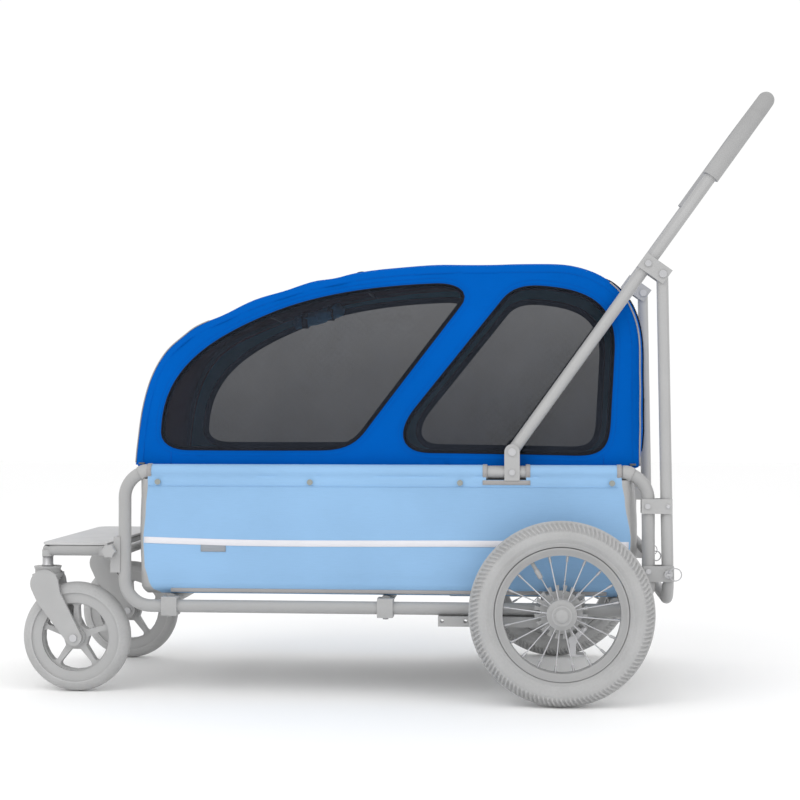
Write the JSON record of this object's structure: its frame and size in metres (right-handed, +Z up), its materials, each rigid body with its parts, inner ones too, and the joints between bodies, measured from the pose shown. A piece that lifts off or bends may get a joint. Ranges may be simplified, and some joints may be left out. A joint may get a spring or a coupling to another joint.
{
  "type": "child bicycle trailer",
  "caption": "Four-wheeled child trailer with a cloth tub, curved canopy with mesh windows, swivel casters, spoked rear wheels and a fold-over push handle",
  "frame": {"origin": "middle of the trailer's length and width, on the ground", "axes": "+X to the rear where the handle is, +Y to the trailer's right, +Z up"},
  "size_m": [1.3078, 0.598, 1.0386],
  "materials": {
    "frame_paint": "satin grey powder coat",
    "dark_bracket": "matt grey coat",
    "bright_steel": "zinc plated",
    "rim_metal": "satin grey coat",
    "wheel_rubber": "matt grey rubber",
    "moulded_plastic": "fine-grained moulding",
    "foam_grip": "closed-cell foam",
    "tub_cloth": "coated woven polyester",
    "lining_cloth": "coated woven polyester",
    "canopy_cloth": "coated woven polyester",
    "window_mesh": "fine dark net",
    "mat_cloth": "quilted cloth",
    "floor_ply": "clear sealed ply",
    "bow_rod": "anodised"
  },
  "bodies": {
    "chassis": {"side_frame_left": "frame_paint", "side_frame_right": "frame_paint", "cross_tubes": "frame_paint", "floor_board": "floor_ply", "floor_mat": "mat_cloth", "axle_bracket_left": "dark_bracket", "axle_bracket_right": "dark_bracket", "axle_spindles": "bright_steel", "rail_clamps": "dark_bracket", "strut_guides": "frame_paint", "strut_clevises": "frame_paint", "frame_bolts": "bright_steel", "deck_hinge_brackets": "dark_bracket", "deck_hinge_bolts": "bright_steel", "handle_brackets": "frame_paint", "handle_pivot_bolts": "bright_steel", "keeper_loop": "bright_steel", "tub_side_left": "tub_cloth", "tub_side_right": "tub_cloth", "tub_end_front": "lining_cloth", "tub_end_rear": "lining_cloth", "tub_floor": "lining_cloth", "snap_buttons": "moulded_plastic", "canopy_shell": "canopy_cloth", "canopy_bows": "bow_rod", "window_meshes": "window_mesh"},
    "deck": {"deck_frame": "dark_bracket", "deck_plate": "moulded_plastic"},
    "handle": {"handle_tube": "frame_paint", "handle_grip": "foam_grip", "link_plates": "frame_paint", "strut_bolts": "bright_steel"},
    "strut": {"strut_tube": "frame_paint"},
    "brake": {"brake_bar": "bright_steel"},
    "caster_fork_left": {"caster_fork_left": "moulded_plastic", "caster_axle_left": "bright_steel"},
    "caster_wheel_left": {"caster_tyre_left": "wheel_rubber", "caster_rim_left": "moulded_plastic"},
    "rear_wheel_left": {"rear_tyre_left": "wheel_rubber", "rear_rim_left": "rim_metal", "spokes_left": "bright_steel", "rear_hub_left": "moulded_plastic", "hub_cap_left": "moulded_plastic"},
    "lock_pin_left": {"lock_pin_left": "bright_steel"},
    "pin_ring_left": {"pin_ring_left": "bright_steel"},
    "deck_knob_left": {"deck_knob_left": "moulded_plastic"},
    "caster_fork_right": {"caster_fork_right": "moulded_plastic", "caster_axle_right": "bright_steel"},
    "caster_wheel_right": {"caster_tyre_right": "wheel_rubber", "caster_rim_right": "moulded_plastic"},
    "rear_wheel_right": {"rear_tyre_right": "wheel_rubber", "rear_rim_right": "rim_metal", "spokes_right": "bright_steel", "rear_hub_right": "moulded_plastic", "hub_cap_right": "moulded_plastic"},
    "lock_pin_right": {"lock_pin_right": "bright_steel"},
    "pin_ring_right": {"pin_ring_right": "bright_steel"},
    "deck_knob_right": {"deck_knob_right": "moulded_plastic"}
  },
  "joints": [
    {"name": "handle_fold", "type": "hinge", "parent": "chassis", "child": "handle", "pos_m": [0.2098, 0, 0.4227], "axis": [0, 1, 0], "range_deg": [-125, 0]},
    {"name": "strut_swing", "type": "hinge", "parent": "handle", "child": "strut", "pos_m": [0.464, 0, 0.72395], "axis": [0, 1, 0], "range_deg": [-25, 0]},
    {"name": "deck_fold", "type": "hinge", "parent": "chassis", "child": "deck", "pos_m": [-0.486, 0, 0.25], "axis": [0, 1, 0], "range_deg": [0, 85]},
    {"name": "brake_press", "type": "hinge", "parent": "chassis", "child": "brake", "pos_m": [0.312, 0, 0.106], "axis": [0, 1, 0], "range_deg": [-16, 0]},
    {"name": "caster_swivel_left", "type": "hinge", "parent": "deck", "child": "caster_fork_left", "pos_m": [-0.6081, -0.184, 0.23], "axis": [0, 0, 1], "continuous": true},
    {"name": "caster_spin_left", "type": "hinge", "parent": "caster_fork_left", "child": "caster_wheel_left", "pos_m": [-0.5546, -0.184, 0.096], "axis": [0, 1, 0], "continuous": true},
    {"name": "rear_spin_left", "type": "hinge", "parent": "chassis", "child": "rear_wheel_left", "pos_m": [0.292, -0.27, 0.155], "axis": [0, 1, 0], "continuous": true},
    {"name": "lock_pin_pull_left", "type": "slide", "parent": "chassis", "child": "lock_pin_left", "axis": [0, -1, 0], "range_m": [0, 0.036]},
    {"name": "pin_ring_swing_left", "type": "hinge", "parent": "lock_pin_left", "child": "pin_ring_left", "pos_m": [0.4724, -0.2315, 0.2176], "axis": [0, 0, 1], "range_deg": [-80, 8]},
    {"name": "deck_knob_turn_left", "type": "hinge", "parent": "chassis", "child": "deck_knob_left", "pos_m": [-0.486, -0.226, 0.25], "axis": [0, 1, 0], "continuous": true},
    {"name": "caster_swivel_right", "type": "hinge", "parent": "deck", "child": "caster_fork_right", "pos_m": [-0.6081, 0.184, 0.23], "axis": [0, 0, 1], "continuous": true},
    {"name": "caster_spin_right", "type": "hinge", "parent": "caster_fork_right", "child": "caster_wheel_right", "pos_m": [-0.5546, 0.184, 0.096], "axis": [0, 1, 0], "continuous": true},
    {"name": "rear_spin_right", "type": "hinge", "parent": "chassis", "child": "rear_wheel_right", "pos_m": [0.292, 0.27, 0.155], "axis": [0, 1, 0], "continuous": true},
    {"name": "lock_pin_pull_right", "type": "slide", "parent": "chassis", "child": "lock_pin_right", "axis": [0, 1, 0], "range_m": [0, 0.036]},
    {"name": "pin_ring_swing_right", "type": "hinge", "parent": "lock_pin_right", "child": "pin_ring_right", "pos_m": [0.4724, 0.2315, 0.2176], "axis": [0, 0, 1], "range_deg": [-8, 80]},
    {"name": "deck_knob_turn_right", "type": "hinge", "parent": "chassis", "child": "deck_knob_right", "pos_m": [-0.486, 0.226, 0.25], "axis": [0, 1, 0], "continuous": true}
  ]
}
